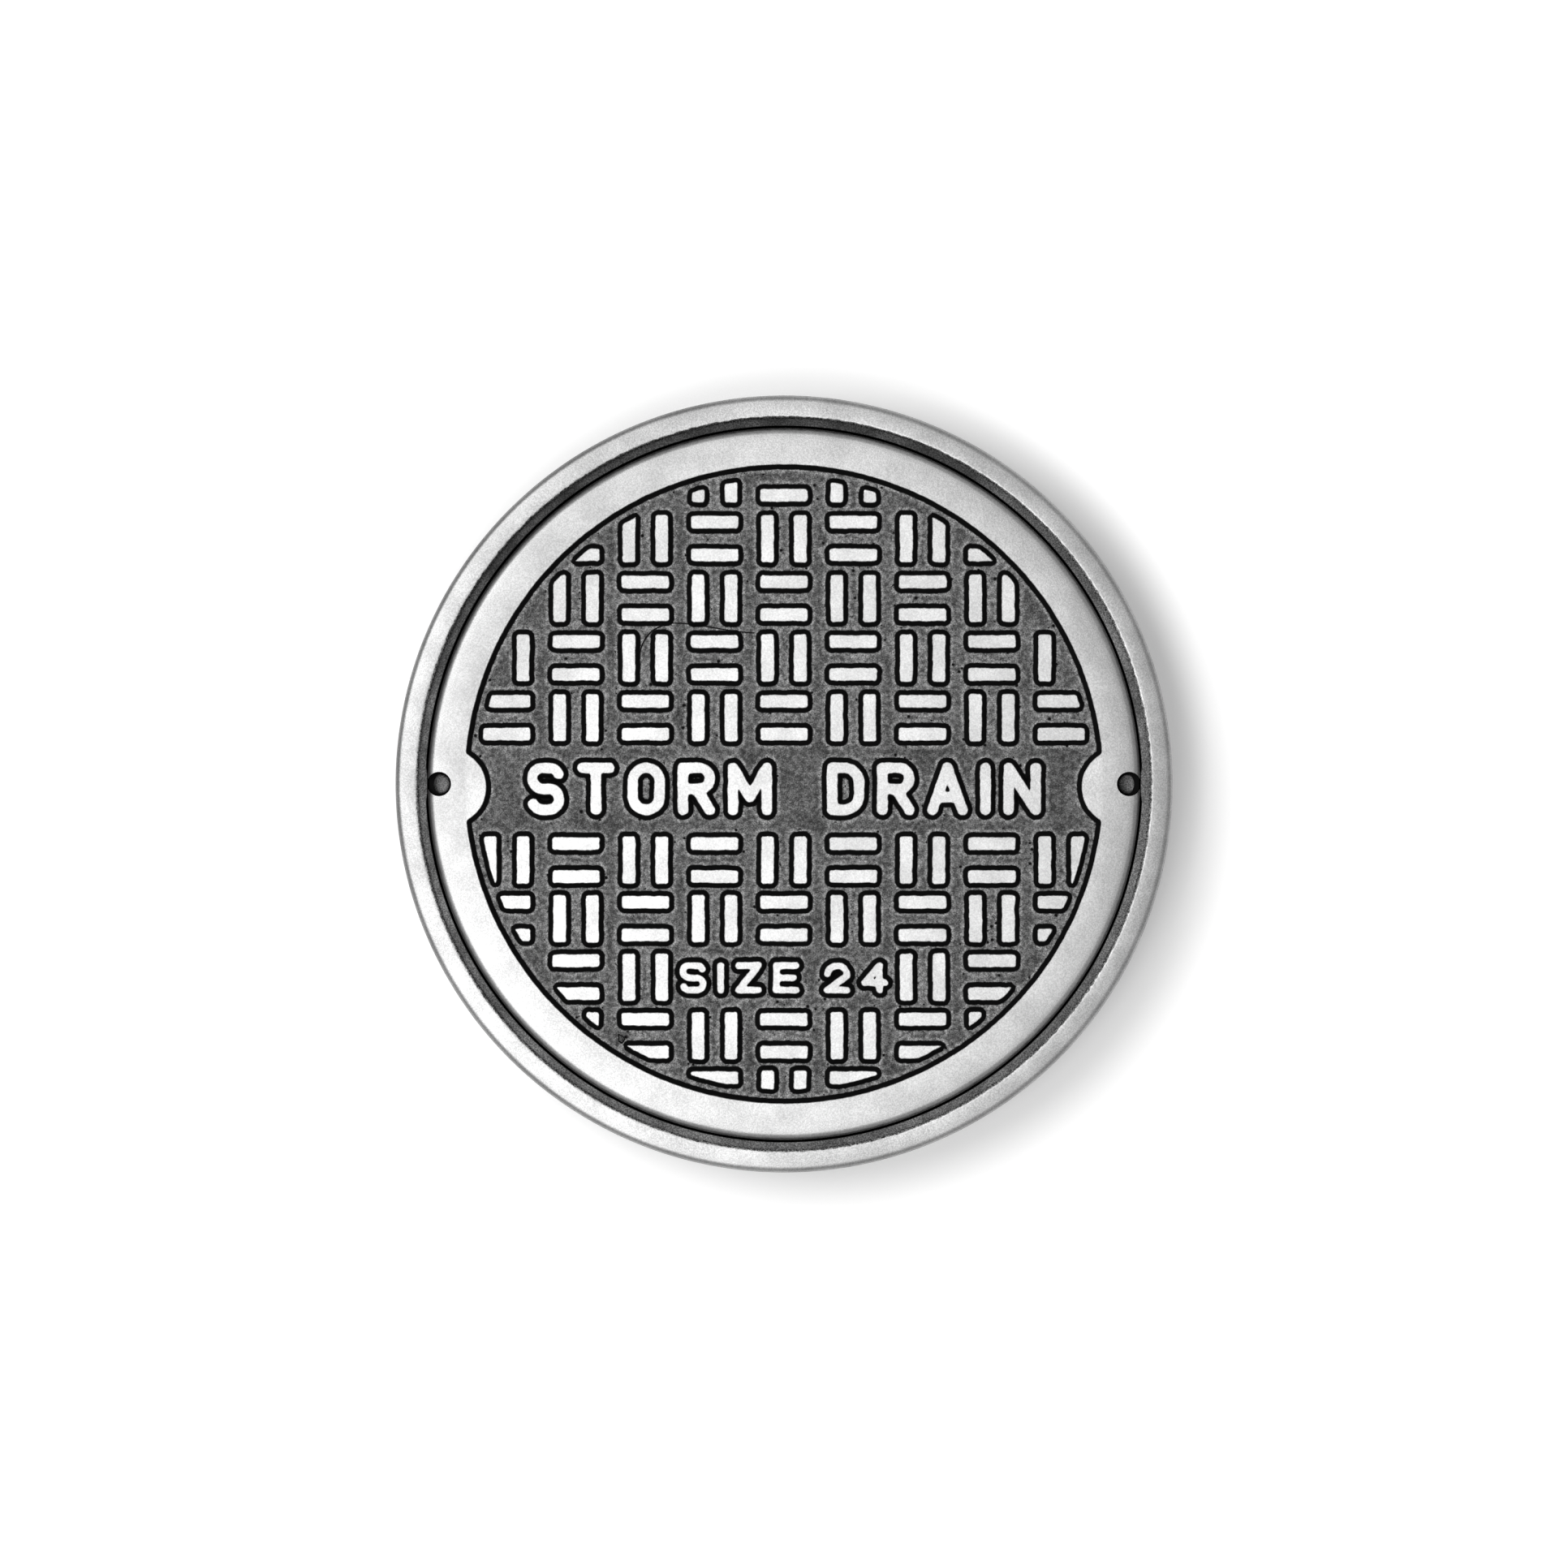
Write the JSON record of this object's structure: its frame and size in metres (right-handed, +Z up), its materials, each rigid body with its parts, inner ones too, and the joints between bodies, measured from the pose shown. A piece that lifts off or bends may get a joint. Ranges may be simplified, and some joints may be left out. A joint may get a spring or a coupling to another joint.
{
  "type": "manhole cover",
  "caption": "Round cast-iron manhole cover with basket-weave treads in its seating frame, with pick holes, ribs underneath and a rubber seat ring.",
  "frame": {"origin": "centre of the clear opening on the plane of the frame's base", "axes": "+Z up out of the road along the axis of the opening, +X towards the right-hand pick hole, +Y towards the top of the lettering"},
  "size_m": [0.72, 0.72, 0.127],
  "materials": {
    "cast_iron_frame": "worn cast surface, bright on top and dark below",
    "cast_iron_cover": "worn bright on the raised faces, dark patina in the field",
    "rubber_cushion": "matt moulded",
    "steel_cup": "zinc plated pressing",
    "rubber_seal": "matt cut sheet",
    "steel_screws": "zinc plated"
  },
  "bodies": {
    "frame_body": {"frame": "cast_iron_frame", "frame_top_ring": "cast_iron_frame"},
    "ring_body": {"seat_cushion": "rubber_cushion"},
    "cover_body": {"cover": "cast_iron_cover", "pick_cup_left": "steel_cup", "cup_seal_left": "rubber_seal", "cup_screws_left": "steel_screws", "pick_cup_right": "steel_cup", "cup_seal_right": "rubber_seal", "cup_screws_right": "steel_screws"}
  },
  "joints": [
    {"name": "cover_turn", "type": "hinge", "parent": "frame_body", "child": "ring_body", "pos_m": [0, 0, 0.085], "axis": [0, 0, 1], "continuous": true},
    {"name": "cover_lift", "type": "slide", "parent": "ring_body", "child": "cover_body", "axis": [0, 0, 1], "range_m": [0, 0.15]}
  ]
}
